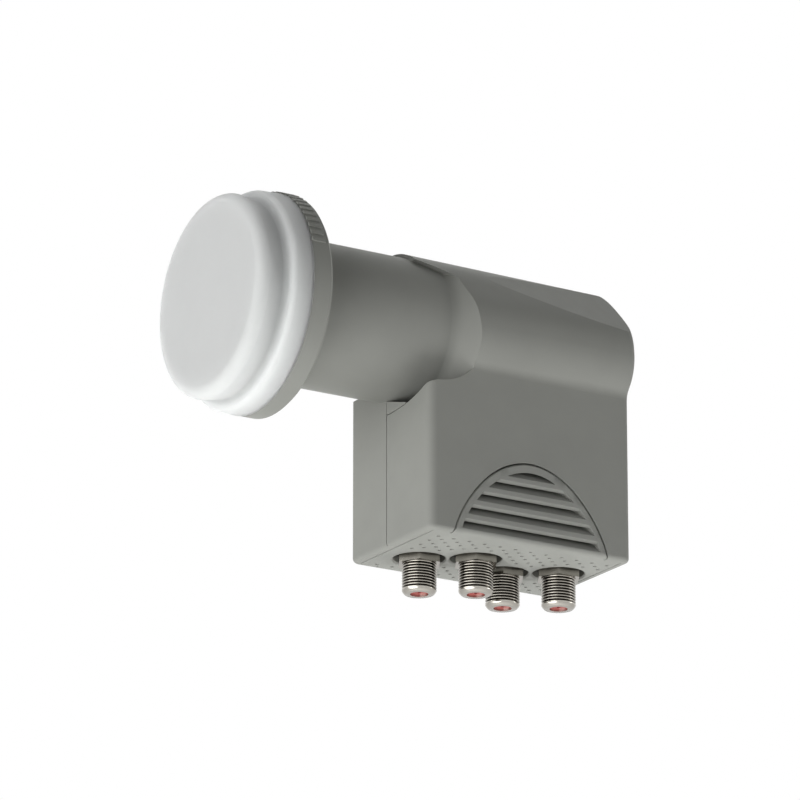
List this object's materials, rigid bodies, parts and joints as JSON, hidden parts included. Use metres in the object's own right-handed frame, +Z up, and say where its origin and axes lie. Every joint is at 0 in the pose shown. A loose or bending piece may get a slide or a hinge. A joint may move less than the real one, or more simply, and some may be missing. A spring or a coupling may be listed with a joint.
{
  "type": "satellite lnb",
  "caption": "Satellite dish receiver head: stepped white cap, round clamp neck, grey box body with louvred vents and threaded coaxial outputs pointing down.",
  "frame": {"origin": "on the neck axis, in the middle of the clamp length", "axes": "+X along the neck axis from the cap to the body, +Z up, connectors point to -Z"},
  "size_m": [0.1217, 0.0608, 0.1016],
  "materials": {
    "cap_white": "fine satin moulding",
    "housing_grey": "fine matt moulding",
    "collar_grey": "fine matt moulding",
    "vent_grey": "fine matt moulding",
    "nickel": "bright nickel plate",
    "screw_steel": "zinc plate",
    "seal_rubber": "matt",
    "cast_metal": "as cast",
    "board_green": "solder mask",
    "shield_steel": "tin plate",
    "chip_black": "moulded",
    "contact_brass": "gold flash",
    "bead_white": "waxy",
    "insulator_red": "satin"
  },
  "bodies": {
    "root": {"board_chips": "chip_black", "cap_collar": "collar_grey", "cap_seal": "seal_rubber", "chassis": "cast_metal", "chassis_lid": "cast_metal", "contact_1": "contact_brass", "contact_2": "contact_brass", "contact_3": "contact_brass", "contact_4": "contact_brass", "f_connector_1": "nickel", "f_connector_2": "nickel", "f_connector_3": "nickel", "f_connector_4": "nickel", "far_shell": "housing_grey", "feed_cap": "cap_white", "feed_horn": "cast_metal", "hex_nuts": "nickel", "if_board": "board_green", "insulator_1": "insulator_red", "insulator_2": "insulator_red", "insulator_3": "insulator_red", "insulator_4": "insulator_red", "lid_gasket": "seal_rubber", "lid_screws": "screw_steel", "near_shell": "housing_grey", "neck_sleeve": "housing_grey", "parting_pin": "cast_metal", "probe_beads": "bead_white", "probe_h": "contact_brass", "probe_v": "contact_brass", "rf_board": "board_green", "shell_screws": "screw_steel", "shield_tray": "shield_steel", "vent_base": "vent_grey"}
  },
  "joints": []
}
